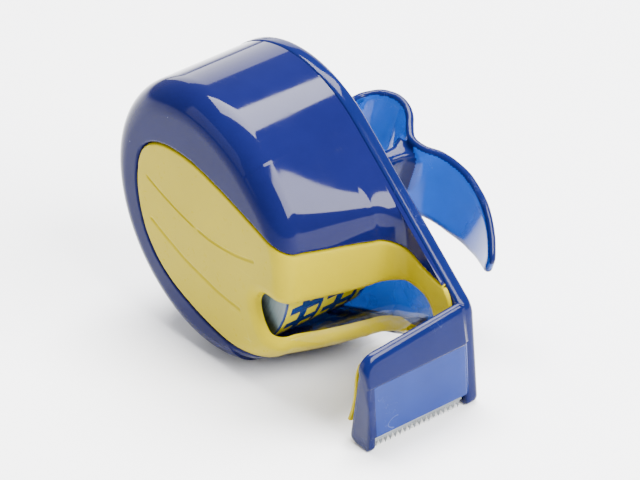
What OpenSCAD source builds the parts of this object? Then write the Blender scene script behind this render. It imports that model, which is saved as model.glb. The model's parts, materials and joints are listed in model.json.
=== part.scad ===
// Hand-worn tape dispenser: a flat back plate with a finger saddle outside and a spindle inside,
// a pull-off domed cover with an inlaid panel and tape window, and a nose guard with a toothed blade.
// The side view (x forward, z up, roll axis at the origin) is extruded along y, from the cover's
// flat side face at y = 0 to the back plate's outer face. stand() then sets it on its rim and nose.

/* [Tape] */
// Width of the tape
tape_w = 18; // [16:0.5:18]
// Outer radius of the wound roll
roll_r = 21.8; // [16:0.1:21.8]
// Inner radius of the card core
core_r = 12.7; // [12:0.1:12.7]
// Wall of the card core
core_wall = 1.4; // [1:0.1:2]

/* [Cover] */
// Radius of the round part of the cover
cover_r = 25.4; // [25.2:0.1:25.6]
// Depth of the cover, from its side face to the seam
seam_y = 22; // [21.8:0.1:22.4]
// Wall of the cover
wall = 1.5; // [1.2:0.1:1.8]
// Radius of the edge round the side face
edge_r = 5.2; // [4:0.1:6]

/* [Back plate] */
// Radius of the plate's rim
plate_r = 25.5; // [25.4:0.1:26]
// Depth of the rim bead
rim_d = 2.8; // [2.6:0.1:3.6]
// Thickness of the plate
web_t = 1.7; // [1.5:0.1:2]

/* [Blade] */
// Pitch of the blade's teeth
tooth_pitch = 1; // [0.8:0.1:1.5]
// Height of the blade's teeth
tooth_h = 0.9; // [0.6:0.1:1.1]

/* [Finger saddle] */
// Width of the saddle along the fingers
saddle_w = 17; // [14:0.5:20]
// Thickness of the saddle's wings
saddle_t = 2; // [1.6:0.1:2.6]
// Height of the valley between the wings above the plate
saddle_h = 12.4; // [11:0.2:14]

/* [Hidden] */

blue = "#1d3f9a";
clear_blue = "#3f6fd0";
yellow = "#e8d024";
steel = "#c8ccd0";

plate_y = seam_y + rim_d;          // outer face of the back plate
web_y = plate_y - web_t;           // inner face of the plate's web
tape_y = 3;                        // edge of the tape nearest the side face

// side view: the sloping top edge, the nose and the tail
slope = 54;                        // direction that the top edge faces
chin = -64;                        // direction that the lower edge faces
nose_c = [39.9, -2.6];
nose_r = 4;
foot_c = [44.4, -18.3];            // round toe that the nose stands on
foot_r = 1.2;
heel_c = [41.4, -18.5];
heel_r = 1;
front_x = 25;                      // front wall of the cover at the side face
front_rise = 2;                    // how much further forward it is where the fillet starts
fillet_y = 17;                     // the front wall turns forward here
fillet_r = 4.2;
skirt_x = 41.6;                    // the skirt along the plate ends here
shelf_y = fillet_y + fillet_r;

// standing pose: the rim and the toe touch the table
tilt = asin((plate_r - foot_r) / norm(foot_c)) - atan2(-foot_c[1], foot_c[0]);
origin_x = 9.22;                   // centre of the whole object, from the roll axis
origin_y = 20.41;

module stand() {
    translate([-origin_x, -origin_y, plate_r]) rotate([0, tilt, 0]) children();
}

// a flat outline in the side view, from y0 to y1
module slab(y0, y1) {
    translate([0, y1, 0]) rotate([90, 0, 0]) linear_extrude(y1 - y0) children();
}

// a cylinder along y
module rod(c, r, y0, y1, fn = 64) {
    translate([c[0], y1, c[1]]) rotate([90, 0, 0]) cylinder(r = r, h = y1 - y0, $fn = fn);
}

// ---- the cover's form -------------------------------------------------------------------------

function line_r(d, a, th) = cos(th - a) > 0.04 ? d / cos(th - a) : 900;
function soft_min(list, p) = pow([for (v = list) pow(v, -p)] * [for (v = list) 1], -1 / p);

// radius of the outline at angle th, with the front wall at x = f and corners of sharpness p
function form_r(th, f, p) =
    th > chin && th < slope
        ? soft_min([line_r(cover_r, slope, th), line_r(cover_r, chin, th), line_r(f, 0, th),
                    line_r(f + 3.4, -36, th)], p)
        : cover_r;

// how sharply the side face turns into the walls: tighter at the front
function edge_at(th) = edge_r - 1.6 * exp(-pow(th / 38, 2));

angles = [for (th = [chin : 2 : slope]) th, for (th = [slope + 6 : 6 : 360 + chin - 4]) th];

// stations from the side face to the seam:
// [depth and inset as shares of the edge, further depth, front wall, sharpness of the corners]
stations = concat(
    [for (k = [0 : 0.125 : 1]) [1 - cos(k * 90), 1 - sin(k * 90), 0, front_x, 12]],
    [for (k = [0.34, 0.67, 1]) [0, 0, edge_r + k * (fillet_y - edge_r), front_x + front_rise * k, 12 + 8 * k]],
    [for (k = [20 : 20 : 80]) [0, 0, fillet_y + fillet_r * sin(k),
                               front_x + front_rise + fillet_r * (1 - cos(k)), 22]],
    [[0, 0, shelf_y, front_x + front_rise + fillet_r, 22],
     [0, 0, shelf_y + 0.05, skirt_x, 26],
     [0, 0, seam_y, skirt_x, 26]]);

function ring(s, cut) = [for (th = angles)
    let (r = form_r(th, s[3], s[4]) - s[1] * edge_at(th) - cut, y = s[0] * edge_at(th) + s[2] + cut)
    [r * cos(th), y, r * sin(th)]];

// stations of the inner skin, which ends at the seam inside the shelf
inner_stations = concat([for (s = stations) if (s[2] < seam_y - wall - 1) s],
                        [[0, 0, seam_y - wall, front_x + front_rise + 0.4 * fillet_r, 22]]);

// thin domed wall: a surface that runs out to the seam and back inside, closed by a point at each end
module shell() {
    last = len(inner_stations) - 1;
    rings = concat([for (s = stations) ring(s, 0)],
                   [for (i = [last : -1 : 0]) ring(inner_stations[i], wall)]);
    n = len(angles);
    m = len(rings);
    points = concat([for (r = rings) each r], [[0, 0, 0], [0, wall, 0]]);
    faces = concat(
        [for (j = [0 : m - 2], i = [0 : n - 1])
            each [[j * n + i, j * n + (i + 1) % n, (j + 1) * n + i],
                  [j * n + (i + 1) % n, (j + 1) * n + (i + 1) % n, (j + 1) * n + i]]],
        [for (i = [0 : n - 1]) [n * m, (i + 1) % n, i]],
        [for (i = [0 : n - 1]) [n * m + 1, (m - 1) * n + i, (m - 1) * n + (i + 1) % n]]);
    polyhedron(points, faces, convexity = 6);
}

// smooth closed or open curve through a few points
function bend(a, b, c, d, t) =
    0.5 * (2 * b + (c - a) * t + (2 * a - 5 * b + 4 * c - d) * t * t + (3 * b - a - 3 * c + d) * t * t * t);
function closed_curve(p, n = 8) = [for (i = [0 : len(p) - 1], k = [0 : n - 1])
    bend(p[(i + len(p) - 1) % len(p)], p[i], p[(i + 1) % len(p)], p[(i + 2) % len(p)], k / n)];
function open_curve(p, n = 8) = concat([for (i = [0 : len(p) - 2], k = [0 : n - 1])
    bend(p[max(i - 1, 0)], p[i], p[i + 1], p[min(i + 2, len(p) - 1)], k / n)], [p[len(p) - 1]]);

// outline of the inlaid panel in the side view
panel_edge = closed_curve([[-17, 0], [-15.4, 7.6], [-10, 11.8], [-2, 13.2], [6, 12.4], [14, 10.8], [20.5, 9.2],
    [25.6, 7], [28, 5], [34, 3.2], [44, 0.4], [44, -10], [34, -12.4], [28, -14.3], [23, -16.4], [17, -18],
    [8, -18.4], [-1, -17.3], [-9.5, -14.3], [-15, -8.4]]);

// outline of the tape window in the side view
window_edge = closed_curve([[16.3, -5.2], [18.6, -2.6], [24, -2.5], [27, -3.6], [31, -2.7], [34.8, -3.4],
    [36.6, -6.6], [34.4, -9.8], [30, -11.6], [24, -12.2], [20, -11.6], [17.2, -9]]);

module cover_shell() {
    color(blue) stand() {
        difference() {
            shell();
            slab(-1, seam_y + 1) polygon(panel_edge);
        }
        // three tabs inside the wall, which grip the inside of the plate's rim
        for (a = [100, 180, 260]) rotate([0, -a, 0]) {
            translate([22.2, seam_y - 5, -2]) cube([cover_r - wall + 0.2 - 22.2, 4.8, 4]);
            translate([22.2, seam_y - 5, -2]) cube([0.8, 5.9, 4]);
        }
    }
}

// the tongue behind the guard, which the tape's end lies on
tongue_line = open_curve([[40.5, -2.3], [40.9, -5], [40.9, -9], [40.3, -13], [39.2, -16.4]], 5);
tongue_t = 1.1;
module tongue() {
    slab(2.6, seam_y) offset(r = 0.3) offset(delta = -0.3)
        polygon(concat([for (p = tongue_line) p + [tongue_t / 2, 0]],
                       [for (i = [len(tongue_line) - 1 : -1 : 0]) tongue_line[i] - [tongue_t / 2, 0]]));
}

module side_panel() {
    color(yellow) stand() {
        difference() {
            intersection() {
                shell();
                slab(-1, seam_y + 1) offset(delta = -0.12) polygon(panel_edge);
            }
            slab(-1, seam_y + 1) polygon(window_edge);
        }
        tongue();
        // ring that steadies the free end of the hub
        difference() {
            rod([0, 0], 10.3, wall - 0.2, 6);
            rod([0, 0], 9.1, wall - 1, 7);
        }
    }
}

// ---- back plate, guard and blade --------------------------------------------------------------

module plate_outline() {
    offset(r = -5) offset(delta = 5) {
        hull() {
            circle(plate_r, $fn = 120);
            translate(nose_c) circle(nose_r, $fn = 40);
            translate((plate_r - 3) * [cos(chin), sin(chin)] + 18 * [-sin(chin), cos(chin)])
                circle(3, $fn = 40);
        }
        hull() {
            translate(nose_c) circle(nose_r, $fn = 40);
            translate(foot_c) circle(foot_r, $fn = 32);
            translate(heel_c) circle(heel_r, $fn = 32);
        }
    }
}

hub_r = 12.6;
screw_r = 1.5;
saddle_mid = [10.8, 3.2];          // middle of the saddle's foot
saddle_turn = 18;                  // the saddle follows the sloping top edge
saddle_holes = 5;                  // screws are this far from the middle, along the fingers
function turned(p, a) = [p[0] * cos(a) + p[1] * sin(a), -p[0] * sin(a) + p[1] * cos(a)];
function saddle_point(u, w) = saddle_mid + turned([u, w], saddle_turn);

module back_plate() {
    color(clear_blue) stand() difference() {
        union() {
            slab(web_y, plate_y) plate_outline();
            slab(seam_y, web_y + 0.1) difference() {
                plate_outline();
                offset(delta = -2.2) plate_outline();
            }
            rod([0, 0], 5, web_y - 2.6, web_y + 0.1);
        }
        rod([0, 0], screw_r - 0.25, web_y - 3, web_y + 0.6);
        for (w = [-saddle_holes, saddle_holes])
            rod(saddle_point(0, w), screw_r + 0.1, web_y - 1, plate_y + 1);
    }
}

// front wall of the nose, in the side view: a thick bar above a thinner blade panel
guard_bar = [[42.2, 0.6], [43, 0.8], [43.9, -0.4], [44.7, -3.2], [45.3, -6.4], [43.1, -6.4], [42.2, -3]];
guard_panel = [[44.9, -6.3], [46, -17.8], [44.7, -17.8], [43.5, -6.3]];
guard_y = 1.8;
flange_t = 1.3;

module nose_guard() {
    color(clear_blue) stand() {
        slab(guard_y, seam_y) polygon(guard_panel);
        // the bar's top drops towards the side face and ends in a rounded corner
        intersection() {
            slab(guard_y, seam_y) offset(r = 0.45) offset(delta = -0.45) polygon(guard_bar);
            translate([40, 0, 0]) rotate([90, 0, 90]) linear_extrude(8) offset(r = 2.4) offset(delta = -2.4)
                polygon([[guard_y, -12], [guard_y, -1.5], [seam_y + 5, 1.3], [seam_y + 5, -12]]);
        }
        slab(guard_y, guard_y + flange_t) hull() {
            translate(foot_c) circle(foot_r, $fn = 32);
            translate([43.2, -5]) circle(0.7, $fn = 24);
            translate([45, -12]) circle(0.6, $fn = 24);
        }
        slab(guard_y, guard_y + flange_t) hull() {
            translate(foot_c) circle(foot_r, $fn = 32);
            translate(heel_c) circle(heel_r, $fn = 32);
        }
    }
}

// the blade lies behind the panel, its teeth just below the panel's edge
blade_lean = atan2(1.2, 10.9);
blade_y0 = guard_y + flange_t + 0.15;
blade_y1 = seam_y - 0.3;
blade_top = [43.74, -9.4];
blade_len = 8.6;
blade_t = 0.4;
rivet_at = [5.6, 13, 20.4];

module on_blade() {
    translate([blade_top[0], 0, blade_top[1]]) rotate([0, -blade_lean, 0]) children();
}

module cutter_blade() {
    teeth = floor((blade_y1 - blade_y0) / tooth_pitch);
    edge = [for (i = [0 : teeth - 1]) each [
        [blade_y0 + i * tooth_pitch, -blade_len], [blade_y0 + (i + 0.5) * tooth_pitch, -blade_len - tooth_h]]];
    color(steel) stand() on_blade() difference() {
        rotate([90, 0, 90]) translate([0, 0, -blade_t]) linear_extrude(blade_t)
            polygon(concat([[blade_y0, 0]], edge, [[blade_y0 + teeth * tooth_pitch, -blade_len],
                           [blade_y1, -blade_len], [blade_y1, 0]]));
        for (y = rivet_at) translate([-1, y, -2]) rotate([0, 90, 0]) cylinder(r = 0.75, h = 2, $fn = 32);
    }
}

module blade_rivets() {
    color(clear_blue) stand() on_blade() for (y = rivet_at)
        translate([0, y, -2]) rotate([0, -90, 0]) {
            cylinder(r = 0.7, h = blade_t + 0.02, $fn = 32);
            translate([0, 0, blade_t + 0.02]) cylinder(r1 = 1.2, r2 = 0.8, h = 0.45, $fn = 32);
        }
}

// ---- spindle ----------------------------------------------------------------------------------

hub_y0 = 4.2;                      // free end of the hub
module spindle_hub() {
    color(yellow) stand() difference() {
        union() {
            rod([0, 0], hub_r, hub_y0, web_y);
            rod([0, 0], 14.6, web_y - 1.1, web_y);
        }
        rod([0, 0], hub_r - 1.4, hub_y0 - 1, web_y - 4.4);
        rod([0, 0], 5.1, web_y - 2.7, web_y + 1);
        rod([0, 0], screw_r + 0.1, web_y - 6, web_y);
        // slots leave four springy fingers
        for (a = [0, 90])
            rotate([0, a, 0]) translate([-20, hub_y0 - 1, -0.8]) cube([40, 9, 1.6]);
        for (w = [-saddle_holes, saddle_holes])
            rod(saddle_point(0, w), 3, web_y - 6, web_y + 1);
    }
}

module screw(c, y_head, length, r) {
    rod(c, r, y_head, y_head + length, 32);
    difference() {
        rod(c, r * 1.9, y_head - 1.4, y_head, 48);
        for (a = [0, 90])
            translate([c[0], y_head - 1.5, c[1]]) rotate([0, a, 0])
                translate([-r * 1.2, 0, -0.3]) cube([r * 2.4, 0.9, 0.6]);
    }
}

module hub_screw() {
    color(steel) stand() screw([0, 0], web_y - 4.4, 4.9, screw_r - 0.25);
}

// ---- finger saddle ----------------------------------------------------------------------------

// middle line of the wings: u along the plate, v above the valley
wings = open_curve([[-12.5, -5.4], [-12.7, -2.6], [-11.2, -0.2], [-9.5, 1.1], [-7.6, 1.7], [-5.7, 1.5],
    [-4, 0.7], [-2.4, -0.5], [0, -1.8], [2.6, -1.1], [4.6, 0.5], [6.8, 1.6], [10, 2.4], [14, 2.6],
    [17.6, 2], [21, 0.7], [24, -1]], 3);
// half outline of the wings, seen from outside: square behind, narrowing to a round tip in front
petal = [[-13.9, 0], [-13.6, 5.6], [-10.6, 8.2], [-3, 8.5], [5, 8.5], [10.5, 8], [16.4, 6.1], [20.8, 3.7],
    [23.6, 1.6]];
function normal(p, i) =
    let (d = p[min(i + 1, len(p) - 1)] - p[max(i - 1, 0)]) [-d[1], d[0]] / norm(d);

module finger_saddle() {
    n = len(wings);
    color(clear_blue) stand() translate([saddle_mid[0], plate_y, saddle_mid[1]]) rotate([0, saddle_turn, 0])
        difference() {
            union() {
                intersection() {
                    translate([0, saddle_h, -saddle_w / 2]) linear_extrude(saddle_w)
                        polygon(concat([for (i = [0 : n - 1]) wings[i] + normal(wings, i) * saddle_t / 2],
                                       [for (i = [n - 1 : -1 : 0]) wings[i] - normal(wings, i) * saddle_t / 2]));
                    translate([0, 30, 0]) rotate([90, 0, 0]) linear_extrude(40) scale([1, saddle_w / 17])
                        polygon(closed_curve(concat(petal, [[24.4, 0]],
                            [for (i = [len(petal) - 1 : -1 : 1]) [petal[i][0], -petal[i][1]]]), 4));
                }
                // stem that flares into the wings above and the foot below
                translate([0, 0, -saddle_w / 2 + 2.2]) linear_extrude(saddle_w - 4.4)
                    offset(r = -1.5) offset(delta = 1.5) {
                        square([8, 3], center = true);
                        translate([-1.5, 0]) square([3, saddle_h - 1.2]);
                        translate([-3.5, saddle_h - 1.9]) square([7, 1]);
                    }
            }
            translate([-10, -6, -20]) cube([20, 6, 40]);
            for (w = [-saddle_holes, saddle_holes])
                translate([0, 6, w]) rotate([90, 0, 0]) cylinder(r = screw_r - 0.3, h = 8, $fn = 32);
        }
}

module saddle_screws() {
    color(steel) stand() for (w = [-saddle_holes, saddle_holes])
        screw(saddle_point(0, w), web_y, web_t + 5.4, screw_r - 0.35);
}

// ---- tape -------------------------------------------------------------------------------------

module tape_core() {
    color("#3a63b8") stand() difference() {
        rod([0, 0], core_r + core_wall, tape_y, tape_y + tape_w, 96);
        rod([0, 0], core_r, tape_y - 1, tape_y + tape_w + 1, 96);
    }
}

module tape_roll() {
    color("#9fb0b4") stand() difference() {
        rod([0, 0], roll_r, tape_y, tape_y + tape_w, 120);
        rod([0, 0], core_r + core_wall, tape_y - 1, tape_y + tape_w + 1, 96);
    }
}

// the free end: off the bottom of the roll, over the window's lip, over the tongue and down to the teeth
lead_t = 0.2;
lead_gap = 0.5;
lip = [21.2, -11.75];
crest = [41.3, -0.6];
leave = let (r = roll_r + lead_gap, a = atan2(lip[1], lip[0]) - acos(r / norm(lip)))
    [r * cos(a), r * sin(a)];
lead_line = concat([leave, lip], open_curve([crest, [41.6, -1.6], [41.72, -4], [41.8, -8], [42.15, -16.8]], 5));

module tape_lead() {
    n = len(lead_line);
    color("#c9d6dc") stand() slab(tape_y, tape_y + tape_w)
        polygon(concat([for (i = [0 : n - 1]) lead_line[i]],
                       [for (i = [n - 1 : -1 : 0]) lead_line[i] - normal(lead_line, i) * -lead_t]));
}

back_plate();
nose_guard();
cutter_blade();
blade_rivets();
spindle_hub();
hub_screw();
finger_saddle();
saddle_screws();
cover_shell();
side_panel();
tape_core();
tape_roll();
tape_lead();
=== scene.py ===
"""Looks of the hand-worn tape dispenser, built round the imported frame.

The form is worked out in the dispenser's side view, in millimetres: x forward and z up from the roll's
axis, and y from the cover's flat side face towards the finger saddle. to_row() turns that into the row
frame, in metres.
"""

import json
import math

import bmesh
import bpy
import numpy as np
from mathutils import Matrix, Vector


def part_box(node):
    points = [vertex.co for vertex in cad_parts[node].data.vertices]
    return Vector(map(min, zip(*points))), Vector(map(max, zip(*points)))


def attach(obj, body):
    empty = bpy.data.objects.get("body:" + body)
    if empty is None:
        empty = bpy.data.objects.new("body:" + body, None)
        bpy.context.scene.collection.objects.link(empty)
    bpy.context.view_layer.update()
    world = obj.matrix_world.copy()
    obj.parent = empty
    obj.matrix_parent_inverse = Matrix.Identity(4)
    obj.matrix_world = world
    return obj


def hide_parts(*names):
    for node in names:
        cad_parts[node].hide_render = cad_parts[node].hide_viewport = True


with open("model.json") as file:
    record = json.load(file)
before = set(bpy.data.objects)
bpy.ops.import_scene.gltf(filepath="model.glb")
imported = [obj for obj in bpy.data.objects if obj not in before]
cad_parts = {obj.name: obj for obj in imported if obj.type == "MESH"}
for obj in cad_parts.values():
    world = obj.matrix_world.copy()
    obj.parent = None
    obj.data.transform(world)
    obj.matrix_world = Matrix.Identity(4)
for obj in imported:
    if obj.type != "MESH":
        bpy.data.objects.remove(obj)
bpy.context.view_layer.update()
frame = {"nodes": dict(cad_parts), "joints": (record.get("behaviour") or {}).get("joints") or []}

# ---- dimensions, in millimetres in the side view ------------------------------------------------

SPIN = next(j for j in frame["joints"] if j["name"] == "roll_spin")
AXIS = np.array(SPIN["pos_m"]) * 1000          # middle of the roll, in the row frame
FACE_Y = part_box("cover_shell")[0].y * 1000     # the cover's side face, in the row frame

PLATE_R = AXIS[2]                              # the rim stands on the table
COVER_R = 25.4
SEAM_Y = 22.0                                  # where the cover meets the back plate's rim
PLATE_Y = 24.8                                 # outer face of the back plate
WEB_Y = 23.1                                   # inner face of the back plate
WALL = 1.5                                     # the cover's thickness
EDGE_R = 5.2                                   # round edge of the side face
FRONT_EDGE_CUT, FRONT_EDGE_SPREAD = 1.6, 38    # how much smaller it is at the front, over how many degrees
SLOPE = math.radians(54)                       # direction that the sloping top faces
CHIN = math.radians(-64)                       # direction that the lower edge faces
BROW = math.radians(-36)                       # direction that the front's lower corner faces
BROW_OUT = 3.4                                 # how much farther out it lies than the front wall
FRONT_X, FRONT_RISE = 25.0, 2.0                # the front wall, and how far it leans out on its way down
FILLET_Y, FILLET_R = 17.0, 4.2                 # where the wall turns out into the shelf
SHELF_Y = FILLET_Y + FILLET_R
SKIRT_X = 41.6                                 # the shelf's front end
SKIRT_R, SKIRT_EDGE, SKIRT_DROP = 0.5, 0.45, 0.3    # its round edge in x and in y, then the straight
FACE_CORNERS, WALL_CORNERS, FILLET_CORNERS, SEAM_CORNERS = 8, 20, 22, 26    # sharpness of the corners
NOSE = (39.9, -2.6, 4.0)                       # centre and radius
FOOT = (44.4, -18.3, 1.2)
HEEL = (41.4, -18.5, 1.0)

# the rim and the foot both stand on the table, which tilts the side view
TILT = math.asin((PLATE_R - FOOT[2]) / math.hypot(FOOT[0], FOOT[1])) - math.atan2(-FOOT[1], FOOT[0])

PANEL_EDGE = [(-17, 0), (-15.4, 7.6), (-10, 11.8), (-2, 13.2), (6, 12.4), (14, 10.8), (20.5, 9.2),
              (25.6, 7), (28, 5), (34, 3.2), (44, 0.4), (44, -10), (34, -12.4), (28, -14.3), (23, -16.4),
              (17, -18), (8, -18.4), (-1, -17.3), (-9.5, -14.3), (-15, -8.4)]
WINDOW_EDGE = [(16.3, -5.2), (18.6, -2.6), (24, -2.5), (27, -3.6), (31, -2.7), (34.8, -3.4), (36.6, -6.6),
               (34.4, -9.8), (30, -11.6), (24, -12.2), (20, -11.6), (17.2, -9)]
GAP = 0.13                                     # half of the gap round the inlaid panel

CORE_R, CORE_WALL = 12.7, 1.4
ROLL_R = 21.8
TAPE_Y, TAPE_W = 3.0, 18.0                     # the tape's edge beside the side face, and its width


def to_row(points):
    """Side-view millimetres to row-frame metres."""
    p = np.asarray(points, float).reshape(-1, 3)
    c, s = math.cos(TILT), math.sin(TILT)
    x = p[:, 0] * c + p[:, 2] * s + AXIS[0]
    z = -p[:, 0] * s + p[:, 2] * c + AXIS[2]
    return np.stack([x, p[:, 1] + FACE_Y, z], 1) / 1000


def direction_to_row(v):
    """A side-view direction, turned into the row frame."""
    c, s = math.cos(TILT), math.sin(TILT)
    return Vector((v[0] * c + v[2] * s, v[1], -v[0] * s + v[2] * c))


def side_view(places):
    """The side-view millimetres x, y and z of places in the row frame."""
    x, z = places[:, 0] * 1000 - AXIS[0], places[:, 2] * 1000 - AXIS[2]
    c, s = math.cos(TILT), math.sin(TILT)
    return x * c - z * s, places[:, 1] * 1000 - FACE_Y, x * s + z * c


# ---- curves -------------------------------------------------------------------------------------

def spline(points, closed, per_span=12):
    """Catmull-Rom curve through the points."""
    p = np.asarray(points, float)
    n = len(p)
    spans = n if closed else n - 1

    def pick(i):
        return p[i % n] if closed else p[min(max(i, 0), n - 1)]

    t = np.arange(per_span)[:, None] / per_span
    out = []
    for i in range(spans):
        a, b, c, d = pick(i - 1), pick(i), pick(i + 1), pick(i + 2)
        out.append(0.5 * (2 * b + (c - a) * t + (2 * a - 5 * b + 4 * c - d) * t ** 2
                          + (3 * b - a - 3 * c + d) * t ** 3))
    if not closed:
        out.append(p[-1:])
    return np.concatenate(out)


def signed_distance(x, z, outline):
    """Distance of side-view points from a closed outline, positive inside it."""
    q = np.stack([x.ravel(), z.ravel()], 1)
    a, b = outline, np.roll(outline, -1, axis=0)
    best = np.full(len(q), 1e9)
    inside = np.zeros(len(q), bool)
    for p0, p1 in zip(a, b):
        d = p1 - p0
        t = np.clip(((q - p0) @ d) / (d @ d), 0, 1)
        best = np.minimum(best, np.linalg.norm(q - p0 - t[:, None] * d, axis=1))
        crosses = (p0[1] > q[:, 1]) != (p1[1] > q[:, 1])
        with np.errstate(divide="ignore", invalid="ignore"):
            at = p0[0] + (q[:, 1] - p0[1]) * d[0] / d[1]
        inside ^= crosses & (q[:, 0] < at)
    return np.where(inside, best, -best).reshape(x.shape)


def belt(circles, step=0.45):
    """Closed outline run anticlockwise round circles (x, z, radius, side), joined by tangent lines.
    side is 1 where the circle is inside the outline and -1 where it is a concave fillet.
    Gives the points, the outward normals and how far each point may be moved inwards."""
    n = len(circles)
    # a round corner may lose most of its radius, and a fillet has all the room it needs
    rooms = [0.85 * r if side > 0 else 9.0 for _, _, r, side in circles]
    normal = []
    for i in range(n):
        a, b = circles[i], circles[(i + 1) % n]
        away = np.subtract(b[:2], a[:2])
        reach = np.linalg.norm(away)
        turn = math.acos((a[3] * a[2] - b[3] * b[2]) / reach)
        normal.append(math.atan2(away[1], away[0]) - turn)
    points, normals, limits = [], [], []
    for i, (cx, cz, r, side) in enumerate(circles):
        first, last = normal[i - 1], normal[i]
        sweep = (last - first) % (2 * math.pi) if side > 0 else -((first - last) % (2 * math.pi))
        steps = max(3, int(abs(sweep) * r / step))
        for k in range(steps + 1):
            phi = first + sweep * k / steps
            out = np.array([math.cos(phi), math.sin(phi)])
            points.append(np.array([cx, cz]) + side * r * out)
            normals.append(out)
            limits.append(rooms[i])
        following = (i + 1) % n
        nx, nz, nr, nside = circles[following]
        out = np.array([math.cos(last), math.sin(last)])
        start, end = points[-1], np.array([nx, nz]) + nside * nr * out
        steps = int(np.linalg.norm(end - start) / step)
        for k in range(1, steps):
            t = k / steps
            points.append(start + (end - start) * t)
            normals.append(out)
            limits.append(rooms[i] * (1 - t) + rooms[following] * t)
    return np.array(points), np.array(normals), np.array(limits)


# ---- mesh helpers -------------------------------------------------------------------------------

def select(*pieces):
    """Selects only these pieces and makes the first one active."""
    bpy.ops.object.select_all(action="DESELECT")
    for piece in pieces:
        piece.select_set(True)
    bpy.context.view_layer.objects.active = pieces[0]


def add_object(name, row_points, faces, material, smooth_angle=40):
    """A mesh object from row-frame points, with smooth shading up to an angle."""
    mesh = bpy.data.meshes.new(name)
    mesh.from_pydata([tuple(p) for p in row_points], [], faces)
    mesh.validate()
    bm = bmesh.new()
    bm.from_mesh(mesh)
    bmesh.ops.remove_doubles(bm, verts=bm.verts, dist=2e-6)
    bmesh.ops.recalc_face_normals(bm, faces=bm.faces)
    bm.to_mesh(mesh)
    bm.free()
    piece = bpy.data.objects.new(name, mesh)
    bpy.context.scene.collection.objects.link(piece)
    mesh.materials.append(material)
    smooth(piece, smooth_angle)
    return piece


def smooth(piece, angle):
    """Smooth shading, with sharp edges where faces meet at more than the angle."""
    select(piece)
    bpy.ops.object.shade_smooth_by_angle(angle=math.radians(angle))


def ring_faces(rows, columns, closed_columns=True):
    """Quads between consecutive rows of points."""
    last = columns if closed_columns else columns - 1
    return [(j * columns + i, j * columns + (i + 1) % columns,
             (j + 1) * columns + (i + 1) % columns, (j + 1) * columns + i)
            for j in range(rows - 1) for i in range(last)]


def loft(name, sections, material, smooth_angle=40):
    """Closed solid through sections of equal point count, with a flat cap at each end."""
    rows, columns = len(sections), len(sections[0])
    points = np.concatenate([np.asarray(s, float) for s in sections])
    faces = ring_faces(rows, columns)
    faces.append(tuple(range(columns))[::-1])
    faces.append(tuple((rows - 1) * columns + i for i in range(columns)))
    return add_object(name, to_row(points), faces, material, smooth_angle)


def belt_solid(name, circles, profile, material, step=0.45):
    """Solid whose side view is a belt: profile is a list of (inset from the outline, y)."""
    points, normals, limits = belt(circles, step)
    sections = []
    for inset, y in profile:
        moved = points - normals * np.minimum(inset, limits)[:, None]
        sections.append(np.stack([moved[:, 0], np.full(len(moved), y), moved[:, 1]], 1))
    return loft(name, sections, material)


def run_modifier(piece, kind, **settings):
    """Adds a modifier and applies it."""
    modifier = piece.modifiers.new(kind.lower(), kind)
    for key, value in settings.items():
        setattr(modifier, key, value)
    select(piece)
    bpy.ops.object.modifier_apply(modifier=modifier.name)


def join(pieces):
    """Joins pieces into the first one."""
    select(*pieces)
    bpy.ops.object.join()
    return pieces[0]


def paint(piece, material, test):
    """Gives a second material to the faces whose middle passes test(x, y, z) in the side view."""
    piece.data.materials.append(material)
    middles = np.array([face.center for face in piece.data.polygons])
    for face, chosen in zip(piece.data.polygons, test(*side_view(middles))):
        if chosen:
            face.material_index = len(piece.data.materials) - 1


# ---- the domed cover's surface ------------------------------------------------------------------

def line_radius(distance, facing, theta):
    """Polar radius of a straight line at a distance from the origin, far away where it isn't in sight."""
    grazing, far_away = 0.04, 900.0
    c = np.cos(theta - facing)
    return np.where(c > grazing, distance / np.maximum(c, grazing), far_away)


def outline_radius(theta, front, sharpness):
    """Polar radius of the cover's outline, with the front wall at x = front."""
    lines = [line_radius(COVER_R, SLOPE, theta), line_radius(COVER_R, CHIN, theta),
             line_radius(front, 0, theta), line_radius(front + BROW_OUT, BROW, theta)]
    blended = sum(l ** -sharpness for l in lines) ** (-1 / sharpness)
    ahead = (theta > CHIN) & (theta < SLOPE)
    return np.where(ahead, blended, COVER_R)


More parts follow.
